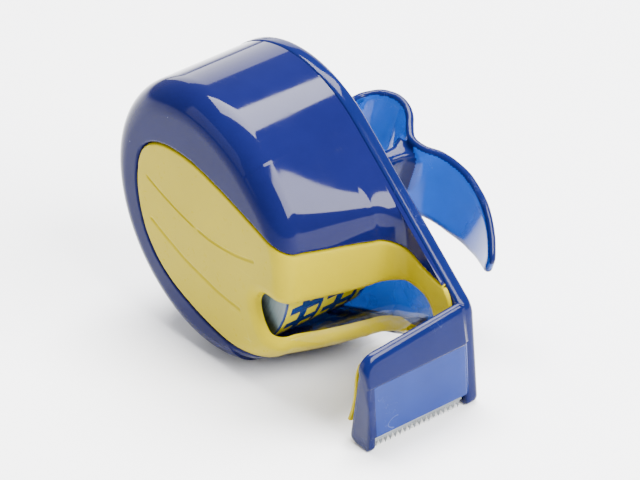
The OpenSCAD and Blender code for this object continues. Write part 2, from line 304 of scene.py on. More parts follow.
def cover_point(theta, q):
    """The cover's outer surface. q runs 0-1 over the side face, 1-2 round its edge, 2-3 down the wall,
    3-4 round the fillet, 4-5 along the shelf beside the plate and 5-6 to the seam."""
    k = q % 1 if q < 6 else 1.0
    edge = EDGE_R - FRONT_EDGE_CUT * np.exp(-(np.degrees(theta) / FRONT_EDGE_SPREAD) ** 2)
    if q < 1:
        radius = k * (outline_radius(theta, FRONT_X, FACE_CORNERS) - edge)
        y = np.zeros_like(theta)
    elif q < 2:
        turn = k * math.pi / 2
        radius = outline_radius(theta, FRONT_X, FACE_CORNERS) - (1 - math.sin(turn)) * edge
        y = (1 - math.cos(turn)) * edge
    elif q < 3:
        corners = FACE_CORNERS + (WALL_CORNERS - FACE_CORNERS) * k ** 1.3
        radius = outline_radius(theta, FRONT_X + FRONT_RISE * k, corners)
        y = edge + k * (FILLET_Y - edge)
    elif q < 4:
        turn = k * math.pi / 2
        front = FRONT_X + FRONT_RISE + FILLET_R * (1 - math.cos(turn))
        radius = outline_radius(theta, front, FILLET_CORNERS)
        y = np.full_like(theta, FILLET_Y + FILLET_R * math.sin(turn))
    elif q < 5:
        start = FRONT_X + FRONT_RISE + FILLET_R
        corners = FILLET_CORNERS + (SEAM_CORNERS - FILLET_CORNERS) * k
        radius = outline_radius(theta, start + k * (SKIRT_X - SKIRT_R - start), corners)
        y = np.full_like(theta, SHELF_Y)
    else:
        rounded = 0.6                          # share with the small round edge, before the straight
        turn = min(k / rounded, 1) * math.pi / 2
        straight = max(k - rounded, 0) / (1 - rounded) * SKIRT_DROP
        radius = outline_radius(theta, SKIRT_X - SKIRT_R * (1 - math.sin(turn)), SEAM_CORNERS)
        y = np.full_like(theta, SHELF_Y + SKIRT_EDGE * (1 - math.cos(turn)) + straight)
    return np.stack([radius * np.cos(theta), y, radius * np.sin(theta)], -1)


THETAS = np.linspace(0, 2 * math.pi, 760, endpoint=False)
THETAS = np.where(THETAS > math.pi, THETAS - 2 * math.pi, THETAS)
STATIONS = np.concatenate([
    [0.0], np.linspace(0.04, 1, 83, endpoint=False), np.linspace(1, 2, 20, endpoint=False),
    np.linspace(2, 3, 34, endpoint=False), np.linspace(3, 4, 16, endpoint=False),
    np.linspace(4, 5, 26, endpoint=False), np.linspace(5, 6, 9)])
GRID = np.stack([cover_point(THETAS, q) for q in STATIONS])


def panel_distance(points):
    """How far inside the inlaid panel's outline points are, in the side view."""
    return signed_distance(points[..., 0], points[..., 2], spline(PANEL_EDGE, True))


def window_distance(points):
    """How far inside the tape window's outline points are, in the side view."""
    return signed_distance(points[..., 0], points[..., 2], spline(WINDOW_EDGE, True))


def clip(grid, field):
    """The part of a surface grid, closed in its columns, where the field is positive.
    Grid points close to the border move onto it, so that no sliver is left."""
    grid, field = grid.copy(), field.copy()
    rows, columns = field.shape
    snap = 0.3                                 # share of a grid step within which a point moves
    for shift, axis in ((-1, 0), (1, 0), (-1, 1), (1, 1)):
        other = np.roll(field, shift, axis)
        if axis == 0:
            end_row = -1 if shift < 0 else 0   # the rows aren't closed
            other[end_row] = field[end_row]
        with np.errstate(divide="ignore", invalid="ignore"):
            t = field / (field - other)
        move = (field * other < 0) & (t < snap)
        target = np.roll(grid, shift, axis)
        grid[move] += (target[move] - grid[move]) * t[move][:, None]
        field[move] = 0.0
    points = [tuple(p) for p in grid.reshape(-1, 3)]
    flat = field.ravel()
    made, faces = {}, []

    def crossing(a, b):
        key = (min(a, b), max(a, b))
        if key not in made:
            t = flat[a] / (flat[a] - flat[b])
            pa, pb = np.array(points[a]), np.array(points[b])
            points.append(tuple(pa + (pb - pa) * t))
            made[key] = len(points) - 1
        return made[key]

    keep = field >= 0
    for j in range(rows - 1):
        for i in range(columns):
            k = (i + 1) % columns
            corners = [j * columns + i, j * columns + k, (j + 1) * columns + k, (j + 1) * columns + i]
            signs = (keep[j, i], keep[j, k], keep[j + 1, k], keep[j + 1, i])
            if all(signs):
                if any(flat[c] > 0 for c in corners):
                    faces.append(tuple(corners))
                continue
            if not any(signs):
                continue
            face = []
            for a, b in zip(corners, corners[1:] + corners[:1]):
                if flat[a] >= 0:
                    face.append(a)
                if flat[a] * flat[b] < 0:
                    face.append(crossing(a, b))
            if len(face) > 2 and any(flat[c] > 0 for c in face if c < len(flat)):
                faces.append(tuple(face))
    return np.array(points), faces


def skin(name, field, rounding, press, material):
    """A wall over the part of the cover's surface where field(points) is positive, its border rounded
    over. rounding(points) is how wide that border is, and press(points) is how far in a point is pressed."""
    points, faces = clip(GRID, field(GRID))
    mesh = bpy.data.meshes.new(name)
    mesh.from_pydata([tuple(p) for p in points], [], faces)
    bm = bmesh.new()
    bm.from_mesh(mesh)
    bpy.data.meshes.remove(mesh)
    bmesh.ops.delete(bm, geom=[v for v in bm.verts if not v.link_faces], context="VERTS")
    bmesh.ops.remove_doubles(bm, verts=bm.verts, dist=2e-3)
    bmesh.ops.recalc_face_normals(bm, faces=bm.faces)
    bm.normal_update()
    place = np.array([v.co for v in bm.verts])
    normal = np.array([v.normal for v in bm.verts])
    inside = np.array([10, 14, -4])
    if (normal * (place - inside)).sum() < 0:
        normal = -normal
    reach = rounding(place)
    depth = np.minimum(reach, WALL - 0.2)      # at least 0.2 mm of the wall is left
    near = np.clip(1 - field(place) / reach, 0, 1)
    drop = depth * (1 - np.sqrt(1 - near ** 2)) + press(place)
    outer = place - normal * drop[:, None]
    inner = place - normal * WALL
    step = 0.05
    border = np.array([v.is_boundary for v in bm.verts]) & (np.abs(field(place)) < step)
    slope = np.stack([field(place[border] + shift) - field(place[border] - shift)
                      for shift in (np.array([step, 0, 0]), np.array([0, 0, step]))], 1)
    slope /= np.linalg.norm(slope, axis=1)[:, None] + 1e-9
    overlap = GAP + 0.04                       # inside, the edges of shell and panel meet
    inner[border, 0] -= slope[:, 0] * overlap
    inner[border, 2] -= slope[:, 1] * overlap
    inner[:, 1] = np.minimum(inner[:, 1], SEAM_Y - 0.02)
    count = len(place)
    outer_faces = [tuple(v.index for v in f.verts) for f in bm.faces]
    rim = [tuple(v.index for v in e.verts) for e in bm.edges if len(e.link_faces) == 1]
    bm.free()
    faces = outer_faces + [tuple(i + count for i in f[::-1]) for f in outer_faces]
    faces += [(a, b, b + count, a + count) for a, b in rim]
    return add_object(name, to_row(np.concatenate([outer, inner])), faces, material, 50)


# ---- materials ----------------------------------------------------------------------------------

class Nodes:
    """Short calls for building a material's node tree."""

    def __init__(self, name):
        self.material = bpy.data.materials.new(name)
        self.material.use_nodes = True
        self.tree = self.material.node_tree
        self.shader = self.tree.nodes["Principled BSDF"]
        self.coords = self.tree.nodes.new("ShaderNodeTexCoord").outputs["Object"]

    def fill(self, socket, value):
        """Links a socket to another node's output, or gives it a plain value."""
        if isinstance(value, bpy.types.NodeSocket):
            self.tree.links.new(value, socket)
        else:
            socket.default_value = value

    def node(self, kind, inputs=None, **settings):
        """A new node, with its settings and its inputs filled."""
        made = self.tree.nodes.new(kind)
        for key, value in settings.items():
            setattr(made, key, value)
        for key, value in (inputs or {}).items():
            self.fill(made.inputs[key], value)
        return made

    def set(self, **values):
        """Fills the shader's own sockets, with underscores for the spaces in their names."""
        for key, value in values.items():
            self.fill(self.shader.inputs[key.replace("_", " ")], value)

    def stretched(self, scale):
        """Object coordinates, stretched along the axes."""
        return self.node("ShaderNodeMapping", {"Vector": self.coords, "Scale": scale}).outputs[0]

    def noise(self, scale, detail=3.0, roughness=0.5, vector=None):
        return self.node("ShaderNodeTexNoise", {
            "Vector": vector or self.coords, "Scale": scale, "Detail": detail,
            "Roughness": roughness}).outputs["Fac"]

    def ramp(self, value, *stops):
        """Colour ramp through (place, colour) stops; a plain number is a grey."""
        made = self.node("ShaderNodeValToRGB", {"Fac": value})
        elements = made.color_ramp.elements
        while len(elements) < len(stops):
            elements.new(0.5)
        for element, (place, colour) in zip(elements, stops):
            element.position = place
            element.color = colour if hasattr(colour, "__len__") else (colour, colour, colour, 1)
        return made.outputs["Color"]

    def math(self, operation, a, b=0.5):
        made = self.node("ShaderNodeMath", {0: a, 1: b}, operation=operation)
        return made.outputs[0]

    def mix(self, share, a, b):
        """Colour mix."""
        made = self.node("ShaderNodeMix", data_type="RGBA")
        for key, value in (("Factor", share), ("A", a), ("B", b)):
            self.fill(next(s for s in made.inputs if s.name == key and s.enabled), value)
        return next(s for s in made.outputs if s.enabled)

    def bump(self, height, distance, strength):
        made = self.node("ShaderNodeBump", {"Height": height, "Distance": distance, "Strength": strength})
        self.fill(self.shader.inputs["Normal"], made.outputs[0])


def scratches(n, scale, width):
    """Thin lines in three directions: fine scratches from handling, in patches."""
    total = None
    for direction in ((9, 1, 1.5), (1.2, 8, 1), (1, 1.6, 10)):
        lines = n.noise(scale, 0.0, 0.5, n.stretched(direction))
        thin = n.math("LESS_THAN", n.math("ABSOLUTE", n.math("SUBTRACT", lines, 0.5)), width)
        patch = n.math("GREATER_THAN", n.noise(scale * 1.3, 0.0, 0.5, n.stretched((1, 1.1, 0.9))), 0.62)
        mark = n.math("MULTIPLY", thin, patch)
        total = mark if total is None else n.math("MAXIMUM", total, mark)
    return total


def specks(n, scale, size):
    """Small specks of dust."""
    cells = n.node("ShaderNodeTexVoronoi", {"Vector": n.coords, "Scale": scale, "Randomness": 1.0})
    near = n.math("LESS_THAN", cells.outputs["Distance"], size)
    few = n.math("GREATER_THAN", n.noise(scale * 0.35, 1.0), 0.64)
    return n.math("MULTIPLY", near, few)


def glossy_blue():
    """Deep blue polished shell, with faint smudges, fine scratches and a little dust."""
    n = Nodes("glossy_blue")
    dust = specks(n, 480, 0.055)
    clouds = n.noise(90, 4.0, 0.6)
    base = n.ramp(clouds, (0.3, (0.0034, 0.0046, 0.042, 1)), (0.7, (0.0042, 0.0058, 0.050, 1)))
    dusty = n.mix(n.math("MULTIPLY", dust, 0.22), base, (0.35, 0.4, 0.55, 1))
    smudge = n.ramp(n.noise(160, 5.0, 0.6), (0.3, 0.045), (0.7, 0.10))
    rough = n.mix(n.math("MAXIMUM", dust, scratches(n, 120, 0.0016)), smudge, (0.22, 0.22, 0.22, 1))
    across = n.node("ShaderNodeSeparateXYZ", {0: n.coords}).outputs["Y"]
    from_face = n.math("MULTIPLY", n.math("SUBTRACT", across, FACE_Y / 1000), 100.0)
    gloss = n.ramp(from_face, (0.04, 0.035), (0.45, 0.15))     # reflections are weaker on the side face
    n.set(Base_Color=dusty, Roughness=rough, IOR=1.5, Specular_IOR_Level=gloss)
    n.bump(n.math("ADD", n.noise(300, 3.0, 0.5), n.math("MULTIPLY", dust, 2.0)), 0.000008, 0.35)
    return n.material


def moulded_blue(name, dark, light, clearness, gloss):
    """Translucent blue moulding, clouded between a dark and a light tint that are close together."""
    n = Nodes(name)
    marks = scratches(n, 130, 0.002)
    base = n.ramp(n.noise(120, 3.0, 0.5), (0.3, (*dark, 1)), (0.7, (*light, 1)))
    worn = n.mix(n.math("MULTIPLY", marks, 0.12), base, (0.4, 0.5, 0.8, 1))
    rough = n.ramp(n.noise(200, 4.0, 0.6), (0.3, 0.05), (0.8, 0.13))
    n.set(Base_Color=worn, Roughness=rough, IOR=1.49, Transmission_Weight=clearness,
          Specular_IOR_Level=gloss)
    n.bump(n.noise(240, 3.0, 0.5), 0.000012, 0.35)
    return n.material


def satin_yellow():
    """Moulded yellow with a soft sheen and a very fine grain."""
    n = Nodes("satin_yellow")
    marks = scratches(n, 110, 0.0015)
    base = n.ramp(n.noise(70, 4.0, 0.6), (0.3, (0.30, 0.238, 0.0, 1)), (0.7, (0.33, 0.262, 0.0, 1)))
    worn = n.mix(n.math("MULTIPLY", marks, 0.3), base, (0.45, 0.39, 0.08, 1))
    rough = n.ramp(n.noise(900, 4.0, 0.6), (0.3, 0.26), (0.7, 0.36))
    n.set(Base_Color=worn, Roughness=rough, IOR=1.5, Specular_IOR_Level=0.04)
    n.bump(n.noise(2600, 3.0, 0.6), 0.000012, 0.35)
    return n.material


def ground_steel():
    """Spring steel with fine grinding lines and small dark flecks."""
    n = Nodes("ground_steel")
    lines = n.noise(700, 4.0, 0.7, n.stretched((1, 0.06, 3)))
    flecks = n.math("GREATER_THAN", n.noise(900, 5.0, 0.7), 0.66)
    base = n.ramp(lines, (0.3, (0.10, 0.11, 0.12, 1)), (0.7, (0.34, 0.36, 0.36, 1)))
    base = n.mix(n.math("MULTIPLY", flecks, 0.5), base, (0.18, 0.17, 0.16, 1))
    n.set(Base_Color=base, Metallic=1.0, Roughness=n.ramp(lines, (0.3, 0.18), (0.7, 0.38)))
    n.bump(lines, 0.00002, 0.5)
    return n.material


def printed_card():
    """Grey card core with paper fibre."""
    n = Nodes("printed_card")
    fibre = n.noise(1500, 5.0, 0.7, n.stretched((1, 0.4, 1)))
    base = n.ramp(fibre, (0.3, (0.30, 0.27, 0.22, 1)), (0.7, (0.46, 0.42, 0.36, 1)))
    n.set(Base_Color=base, Roughness=0.85)
    n.bump(fibre, 0.00004, 0.6)
    return n.material


def wound_tape():
    """Wound clear tape: frosted ends with winding lines, and round the outside a generic print of yellow
    blocks on dark blue that shows through the film."""
    n = Nodes("wound_tape")
    axle = n.node("ShaderNodeVectorMath", {0: n.coords, 1: tuple(-v / 1000 for v in AXIS)}, operation="ADD")
    split = n.node("ShaderNodeSeparateXYZ", {0: axle.outputs[0]})
    x, y, z = split.outputs
    radius = n.math("SQRT", n.math("ADD", n.math("MULTIPLY", x, x), n.math("MULTIPLY", z, z)))
    angle = n.math("ARCTAN2", z, x)
    outside = n.math("GREATER_THAN", radius, (ROLL_R - 0.12) / 1000)

    winding = n.noise(1.0, 2.0, 0.6, n.node("ShaderNodeCombineXYZ", {
        "X": n.math("MULTIPLY", radius, 5200.0), "Y": n.math("MULTIPLY", angle, 0.7)}).outputs[0])
    frosted = n.ramp(winding, (0.25, (0.07, 0.10, 0.108, 1)), (0.75, (0.12, 0.155, 0.16, 1)))

    def stripes(value, count, duty):
        return n.math("LESS_THAN", n.math("FRACT", n.math("MULTIPLY", value, count)), duty)

    blocks = n.math("MULTIPLY", stripes(angle, 30 / (2 * math.pi), 0.55), stripes(y, 260.0, 0.6))
    rings = stripes(n.math("ADD", y, 0.0007), 130.0, 0.12)
    ink = n.math("MAXIMUM", blocks, rings)
    printed = n.mix(ink, (0.006, 0.022, 0.10, 1), (0.40, 0.34, 0.01, 1))
    n.set(Base_Color=n.mix(outside, frosted, printed), Roughness=n.ramp(outside, (0.0, 0.5), (1.0, 0.12)),
          IOR=1.47, Specular_IOR_Level=0.35)
    n.bump(winding, 0.00005, 0.7)
    return n.material


def tape_film():
    """Clear film with a faint sheen and stretch marks."""
    n = Nodes("tape_film")
    ripple = n.noise(300, 2.0, 0.5, n.stretched((1, 0.15, 1)))
    n.set(Base_Color=n.ramp(ripple, (0.3, (0.9, 0.95, 0.97, 1)), (0.7, (1, 1, 1, 1))),
          Roughness=n.ramp(ripple, (0.3, 0.03), (0.7, 0.1)), IOR=1.3, Transmission_Weight=1.0,
          Alpha=n.ramp(ripple, (0.3, 0.05), (0.7, 0.1)))
    n.bump(ripple, 0.00003, 0.4)
    return n.material


def studio_floor():
    """Plain pale floor."""
    n = Nodes("studio_floor")
    tone = n.ramp(n.noise(4, 2.0), (0.3, (0.86, 0.86, 0.87, 1)), (0.7, (0.88, 0.88, 0.89, 1)))
    n.set(Base_Color=tone, Roughness=0.7)
    return n.material


BLUE, YELLOW = glossy_blue(), satin_yellow()
CLEAR = moulded_blue("clear_blue", (0.008, 0.062, 0.34), (0.011, 0.074, 0.40), 0.5, 0.12)
PANEL = moulded_blue("guard_blue", (0.010, 0.026, 0.15), (0.013, 0.032, 0.18), 0.25, 0.03)
# a darker copy of the clear moulding: painted shade that stands in for light lost in thick plastic, used on
# the plate's rim bead, the guard's bar and flange and the saddle's edges
SHADED_BLUE = moulded_blue("shaded_thick_blue", (0.003, 0.006, 0.050), (0.004, 0.008, 0.062), 0.12, 0.07)
STEEL, CARD, WOUND, FILM = ground_steel(), printed_card(), wound_tape(), tape_film()


def finish_piece(piece, body, slot, *nodes):
    """Puts a finished piece on its body, in place of CAD nodes. slot is not used."""
    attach(piece, body)
    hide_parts(*nodes)


def keep_node(node, material):
    """A CAD node that stays, with a better material."""
    mesh = frame["nodes"][node].data
    mesh.materials.clear()
    mesh.materials.append(material)


# ---- cover --------------------------------------------------------------------------------------

UPPER_GROOVE = [(-13.6, 2.9), (-9.3, 1.7), (-3.2, 0.6), (1.7, 0.2), (5.7, 0.4), (11.4, 1.5), (16.2, 3.1)]
LOWER_GROOVE = [(-12.8, -5.3), (-8.9, -6.6), (-3.2, -8.1), (1.7, -8.8), (6.5, -9.3), (12.2, -9.2)]
GROOVES = [spline(UPPER_GROOVE, False), spline(LOWER_GROOVE, False)]
GROOVE_DEPTH, GROOVE_HALF_WIDTH = 0.2, 0.42


def groove_depth(points):
    """Two long curved grooves pressed into the side of the panel."""
    depth = np.zeros(len(points))
    flat = points[:, 1] < 0.3                  # only on the side face
    q = points[flat][:, [0, 2]]
    for line in GROOVES:
        near = np.min(np.linalg.norm(q[:, None] - line[None], axis=2), axis=1)
        pressed = GROOVE_DEPTH * np.clip(1 - (near / GROOVE_HALF_WIDTH) ** 2, 0, 1)
        depth[flat] = np.maximum(depth[flat], pressed)
    return depth


def make_cover():
    """The blue shell: the whole surface outside the inlaid panel."""
    def field(p):
        return -panel_distance(p) - GAP

    def rounding(p):
        return np.full(len(p), 0.3)

    def press(p):
        return np.zeros(len(p))

    shell = skin("cover_moulding", field, rounding, press, BLUE)
    finish_piece(shell, "cover", "blue", "cover_shell")


def make_panel():
    """The yellow inlay: a panel on the side and round the window, and the tongue down the front."""
    def field(p):
        return np.minimum(panel_distance(p) - GAP, -window_distance(p))

    def rounding(p):
        window_round, seam_round = 2.2, 0.35
        return np.where(-window_distance(p) < panel_distance(p), window_round, seam_round)

    face = skin("panel_moulding", field, rounding, groove_depth, YELLOW)
    line = spline([(40.7, -4.6), (40.95, -7), (40.8, -10), (40.2, -13.4), (39.2, -16.5)], False, 8)
    half_thick, middle_y, half_width = 0.55, 12.1, 9.8
    narrowing, narrow_rows = 1.2, 10
    across = np.gradient(line, axis=0)
    across = np.stack([across[:, 1], -across[:, 0]], 1) / np.linalg.norm(across, axis=1)[:, None]
    sections = []
    for row, ((x, z), (nx, nz)) in enumerate(zip(line, across)):
        taper = narrowing * max(0.0, 1 - row / narrow_rows) ** 2     # its upper end is narrower
        turn = np.linspace(0, 2 * math.pi, 40, endpoint=False)
        reach = np.sign(np.cos(turn)) * np.abs(np.cos(turn)) ** 0.25      # long rounded rectangle
        thick = np.sign(np.sin(turn)) * np.abs(np.sin(turn)) ** 0.6
        y = middle_y + half_width * reach + taper * (reach < 0)
        sections.append(np.stack([x + nx * half_thick * thick, y, z + nz * half_thick * thick], 1))
    tongue = loft("tongue", sections, YELLOW)
    run_modifier(tongue, "BEVEL", width=0.00025, segments=3, limit_method="ANGLE",
                 angle_limit=math.radians(50))
    panel = join([face, tongue])
    smooth(panel, 50)
    finish_piece(panel, "cover", "yellow", "side_panel")


# ---- back plate and guard -----------------------------------------------------------------------

def fillet_centre(a, b, c, radius):
    """Centre of the concave fillet between the tangent lines a-b and b-c of three round corners."""
    lines = []
    for p, q in ((a, b), (b, c)):
        away = np.subtract(q[:2], p[:2])
        turn = math.acos((p[2] - q[2]) / np.linalg.norm(away))
        phi = math.atan2(away[1], away[0]) - turn
        normal = np.array([math.cos(phi), math.sin(phi)])
        lines.append((normal, normal @ np.array(p[:2]) + p[2] + radius))
    return np.linalg.solve(np.array([l[0] for l in lines]), np.array([l[1] for l in lines]))


def plate_belt():
    """The back plate's outline: round rim, lower edge, tail and nose."""
    along, across = (-math.sin(CHIN), math.cos(CHIN)), (math.cos(CHIN), math.sin(CHIN))
    chin_r, chin_along, hollow_r = 3.0, 18, 5.0
    chin = tuple((PLATE_R - chin_r) * across[i] + chin_along * along[i] for i in (0, 1)) + (chin_r,)
    hollow = fillet_centre(chin, NOSE, HEEL, hollow_r)
    return [(0, 0, PLATE_R, 1), (*chin, 1), (*hollow, hollow_r, -1), (*HEEL, 1), (*FOOT, 1), (*NOSE, 1)]


def make_plate():
    """The back plate with the bead round its rim. The profile is (inset from the outline, y)."""
    bead_in, bead_out, rim_width = 1.1, 1.25, 2.25
    rim = [(2.9, WEB_Y), (2.3, WEB_Y), (2.2, WEB_Y - 0.1), (2.2, SEAM_Y + 0.05), (0.6, SEAM_Y + 0.03),
           (0.25, SEAM_Y + 0.09), (0.06, SEAM_Y + 0.3), (0, SEAM_Y + 0.8)]
    for k in range(9):                             # the bead bulges from the seam round to the outer face
        turn = math.pi / 2 * k / 8
        rim.append((bead_in - bead_in * math.cos(turn), SEAM_Y + 1.55 + bead_out * math.sin(turn)))
    rim += [(1.5, PLATE_Y - 0.02), (1.9, PLATE_Y - 0.14), (2.2, PLATE_Y - 0.3), (2.6, PLATE_Y - 0.34),
            (3.2, PLATE_Y - 0.34)]
    plate = belt_solid("plate_moulding", plate_belt(), rim, CLEAR)
    outline = belt(plate_belt())[0]
    # painted shade: the band round the rim takes the darker copy of the moulding, for light lost in the
    # thick bead
    paint(plate, SHADED_BLUE, lambda x, y, z: signed_distance(x, z, outline) < rim_width)
    finish_piece(plate, "base", "clear_blue", "back_plate")


GUARD_Y = 1.8                                  # the guard's free end, beside the side face
CREASE_Z = -6.2                                # where its bar steps back to its panel


def guard_sections():
    """Sections of the guard across the tape: a thick bar above the crease and a thinner panel below it."""
    bar_top = 0.86                             # the height that the bar is drawn with
    front = spline([(42.75, bar_top), (43.35, 0.62), (44.0, -0.5), (44.5, -2.2), (44.95, -4.2),
                    (45.28, -5.9)], False, 6)
    step = np.array([(45.3, CREASE_Z), (45.16, CREASE_Z - 0.3), (45.0, CREASE_Z - 0.45)])
    panel = np.array([(45.0 + 0.076 * k, CREASE_Z - 0.7 - 0.95 * k) for k in range(11)])
    bottom = np.array([(45.66, -16.52), (45.3, -16.62), (44.95, -16.5)])
    back = np.array([(44.8 - 0.105 * k, -16.2 + 0.96 * k) for k in range(11)])
    bar_back = np.array([(43.2, CREASE_Z - 0.2), (42.7, -4.4), (42.35, -2.4), (42.2, -0.6), (42.25, 0.3),
                         (42.42, 0.72)])
    outline = np.concatenate([front, step, panel, bottom, back, bar_back])
    middle = np.array([43.9, -9.0])
    sections = []
    end_round, corner_r = 0.45, 2.6
    top_start, top_rise = -1.55, 0.104         # the bar's top at its free end, and its rise along y
    ys = np.concatenate([GUARD_Y + end_round * (1 - np.cos(np.linspace(0, math.pi / 2, 6))),
                         np.linspace(GUARD_Y + end_round, GUARD_Y + 3.4, 14)[1:],
                         np.linspace(GUARD_Y + 3.4, SEAM_Y - 0.3, 14)[1:],
                         [SEAM_Y - 0.12, SEAM_Y, SEAM_Y + 0.06, SEAM_Y + 0.6]])
    for y in ys:
        rounded = max(0.0, 1 - (y - GUARD_Y) / end_round, 0.75 - (SEAM_Y + 0.02 - y) / end_round)
        rounded = min(rounded, 1.0)
        shrink = end_round * (1 - math.sqrt(max(0.0, 1 - rounded ** 2)))
        corner = max(0.0, 1 - (y - GUARD_Y) / corner_r)
        drop = corner_r * (1 - math.sqrt(max(0.0, 1 - corner ** 2)))
        top = top_start + (y - GUARD_Y) * top_rise - drop
        section = outline.copy()
        bar = section[:, 1] > CREASE_Z
        section[bar, 1] = CREASE_Z + (section[bar, 1] - CREASE_Z) * (top - CREASE_Z) / (bar_top - CREASE_Z)
        inward = np.clip(middle - section, -1, 1) * [1, 0.25] * shrink
        sections.append(np.stack([section[:, 0] + inward[:, 0], np.full(len(section), y), section[:, 1]], 1))
    return sections


def make_guard():
    """The guard over the nose, with the side flange that reaches down to the heel."""
    front = loft("guard_moulding", guard_sections(), PANEL, 35)
    side = [(43.2, -4.9, 0.7, 1), (*HEEL, 1), (*FOOT, 1), (44.9, -10.5, 0.7, 1)]
    flange_t, edge = 1.3, 0.3
    far_y = GUARD_Y + flange_t
    profile = [(0.9, GUARD_Y - 0.02), (edge, GUARD_Y - 0.02), (0.09, GUARD_Y + 0.07), (0, GUARD_Y + edge),
               (0, far_y - edge), (0.09, far_y - 0.09), (edge, far_y), (0.9, far_y)]
    flange = belt_solid("flange", side, profile, PANEL, 0.3)
    guard = join([front, flange])
    smooth(guard, 35)
    # painted shade: the bar above the crease and the flange take the darker copy of the moulding, for light
    # lost in thick plastic
    paint(guard, SHADED_BLUE, lambda x, y, z: (z > CREASE_Z - 0.4) | (y < far_y + 0.05))
    finish_piece(guard, "base", "clear_blue", "nose_guard")


def make_blade():
    """Steel strip whose teeth are ground to an edge on the side away from the guard."""
    lo, hi = 3.25, SEAM_Y - 0.35
    pitch, tooth = 1.0, 1.3
    top, length, thick = (43.74, -9.4), 8.6, 0.4
    lean = math.atan2(1.2, 10.9)
    count = int((hi - lo) / pitch)
    edge_thick, ground_root, ground_tooth = 0.08, 0.35, 1.15
    line, back = [(lo, 0.0)], [(lo, 0.0)]
    for k in range(count):
        line += [(lo + k * pitch, -length), (lo + (k + 0.5) * pitch, -length - tooth)]
        back += [(lo + k * pitch, -length + ground_root), (lo + (k + 0.5) * pitch, -length + ground_tooth)]
    line += [(lo + count * pitch, -length), (hi, -length), (hi, 0.0)]
    back += [(lo + count * pitch, -length + ground_root), (hi, -length + ground_root), (hi, 0.0)]

    def leaned(points, depth):
        """Points (y, z) of the flat strip, leaned over behind the guard."""
        out = []
        for y, z in points:
            out.append((top[0] - depth * math.cos(lean) - z * math.sin(lean), y,
                        top[1] - depth * math.sin(lean) + z * math.cos(lean)))
        return out

    points = leaned(line, 0.0) + leaned(line, edge_thick) + leaned(back, thick)
    n = len(line)
    faces = ring_faces(3, n) + [tuple(range(n))[::-1], tuple(2 * n + i for i in range(n))]
    blade = add_object("blade_strip", to_row(points), faces, STEEL, 20)
    finish_piece(blade, "base", "steel", "cutter_blade")


# ---- finger saddle ------------------------------------------------------------------------------

# where its stem stands on the plate, how it is turned, how high it is and how thick its wings are
SADDLE = dict(x=10.8, z=3.2, turn=math.radians(18), height=12.4, thick=1.5)


def saddle_point(u, v, w):
    """u along the plate towards the nose, v out from the plate and w across the wings."""
    c, s = math.cos(SADDLE["turn"]), math.sin(SADDLE["turn"])
    return (SADDLE["x"] + u * c + w * s, PLATE_Y + v, SADDLE["z"] - u * s + w * c)


def wing_half_width(u):
    """Square behind, narrowing to a round tip in front."""
    us = [-13.9, -13.6, -12.8, -11.4, -9, -5, 5, 10.5, 16.4, 20.8, 23.2, 24.2, 24.6]
    ws = [0.5, 4.6, 6.6, 7.8, 8.4, 8.5, 8.5, 8.0, 6.2, 4.0, 2.4, 1.2, 0.4]
    return np.interp(u, us, ws)


